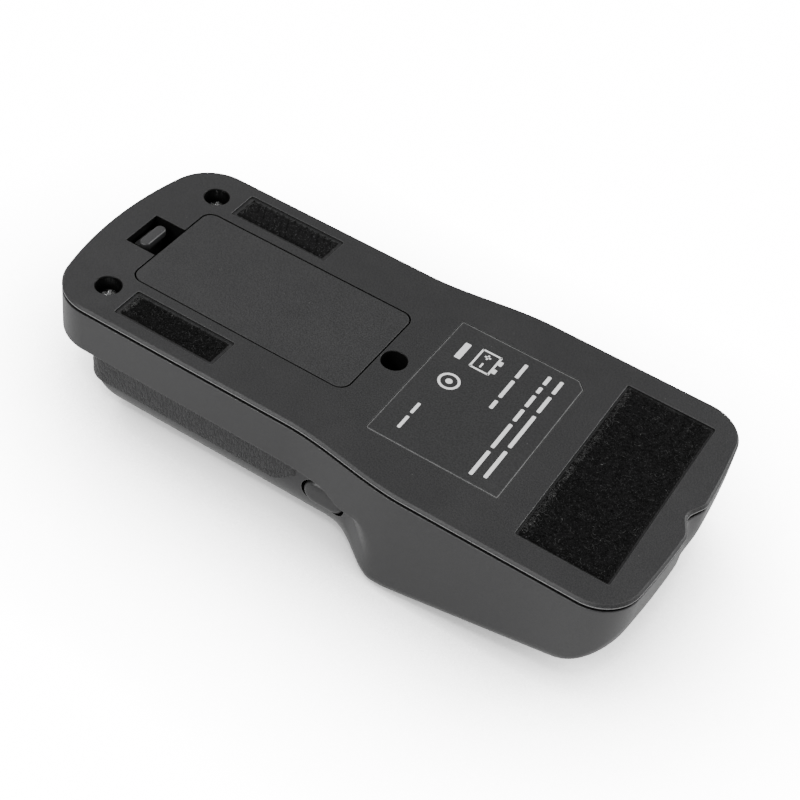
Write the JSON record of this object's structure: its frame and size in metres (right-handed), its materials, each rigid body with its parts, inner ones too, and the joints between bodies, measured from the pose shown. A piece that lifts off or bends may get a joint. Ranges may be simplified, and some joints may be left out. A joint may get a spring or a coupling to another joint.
{
  "type": "stud finder",
  "caption": "Handheld electronic stud finder with LCD head, side scan button, rubber grip, sliding felt pads on its flat back and a latched battery door.",
  "frame": {"origin": "bottom centre of the bounding box: the stud finder lies on its front, so this is under the middle of the front face", "axes": "+X from the handle end to the sensing head, +Y towards the right hand of a user who faces the front, +Z out of the flat back that goes against the wall"},
  "size_m": [0.1699, 0.0754, 0.0365],
  "materials": {
    "black_plastic": "fine spark-eroded texture, black ABS",
    "cover_plastic": "fine spark-eroded texture, black ABS",
    "door_plastic": "slightly coarser spark-eroded texture, black ABS",
    "latch_plastic": "fine texture with handled, shinier rib",
    "button_rubber": "soft-touch matt",
    "grip_rubber": "leather-grain thermoplastic rubber",
    "felt": "brushed loop felt",
    "label_film": "printed polycarbonate film",
    "screw_steel": "bright zinc, cross recess",
    "small_screw_steel": "zinc plated",
    "crystal_can": "drawn can",
    "sensor_copper": "tinned copper foil",
    "circuit_board": "solder mask",
    "chip_epoxy": "moulded epoxy",
    "battery_jacket": "printed steel can",
    "terminal_metal": "nickel plated",
    "snap_cap": "vinyl cap",
    "capacitor_sleeve": "shrink sleeve",
    "door_foam": "open-cell foam",
    "lead_red": "PVC insulation",
    "lead_black": "PVC insulation",
    "window_acrylic": "clear acrylic with a dark printed border",
    "lcd_glass": "liquid-crystal cell",
    "lcd_frame": "white moulding",
    "backlight_diffuser": "opal light guide",
    "contact_rubber": "layered conductive silicone",
    "signal_lens": "translucent lens",
    "plunger_nylon": "nylon",
    "flex_film": "polyimide film"
  },
  "bodies": {
    "root": {"front_housing": "black_plastic", "rear_cover": "cover_plastic", "grip_sleeve": "grip_rubber", "battery_case": "battery_jacket", "battery_terminal_positive": "terminal_metal", "battery_terminal_negative": "terminal_metal", "snap_connector": "snap_cap", "lead_positive": "lead_red", "lead_negative": "lead_black", "sensor_board": "circuit_board", "sensor_plate_left": "sensor_copper", "sensor_plate_centre": "sensor_copper", "sensor_plate_right": "sensor_copper", "microcontroller": "chip_epoxy", "sensor_amplifier": "chip_epoxy", "voltage_regulator": "chip_epoxy", "filter_capacitor": "capacitor_sleeve", "piezo_buzzer": "chip_epoxy", "quartz_crystal": "crystal_can", "flex_connector": "snap_cap", "flex_cable": "flex_film", "display_window": "window_acrylic", "lcd_glass": "lcd_glass", "lcd_frame": "lcd_frame", "backlight_panel": "backlight_diffuser", "contact_strip": "contact_rubber", "display_board": "circuit_board", "display_driver": "chip_epoxy", "signal_light_left": "signal_lens", "signal_light_right": "signal_lens", "mode_switch": "chip_epoxy", "scan_switch": "chip_epoxy", "scan_switch_board": "circuit_board", "housing_screw_left": "screw_steel", "housing_screw_right": "screw_steel", "housing_screw_centre": "screw_steel", "sensor_board_screw_1": "small_screw_steel", "sensor_board_screw_2": "small_screw_steel", "sensor_board_screw_3": "small_screw_steel", "display_board_screw_1": "small_screw_steel", "display_board_screw_2": "small_screw_steel", "back_label": "label_film", "head_pad": "felt", "side_pad_left": "felt", "side_pad_right": "felt"},
    "battery_door": {"battery_door": "door_plastic", "door_foam": "door_foam"},
    "door_latch": {"door_latch": "latch_plastic"},
    "scan_button": {"scan_button": "button_rubber", "scan_plunger": "plunger_nylon"},
    "mode_button": {"mode_button": "button_rubber", "mode_plunger": "plunger_nylon"}
  },
  "joints": [
    {"name": "battery_door_hinge", "type": "hinge", "parent": "root", "child": "battery_door", "pos_m": [-0.0031, 0, 0.036], "axis": [0, 1, 0], "range_deg": [0, 75]},
    {"name": "door_latch_flex", "type": "hinge", "parent": "battery_door", "child": "door_latch", "pos_m": [-0.0683, 0, 0.026], "axis": [0, 1, 0], "range_deg": [0, 9], "stiffness_Nm_per_rad": 0.5},
    {"name": "scan_button_press", "type": "slide", "parent": "root", "child": "scan_button", "axis": [0, 1, 0], "range_m": [0, 0.0008], "stiffness_N_per_m": 1200},
    {"name": "mode_button_press", "type": "slide", "parent": "root", "child": "mode_button", "axis": [-0.2096, 0, 0.9778], "range_m": [0, 0.0005], "stiffness_N_per_m": 1500}
  ]
}
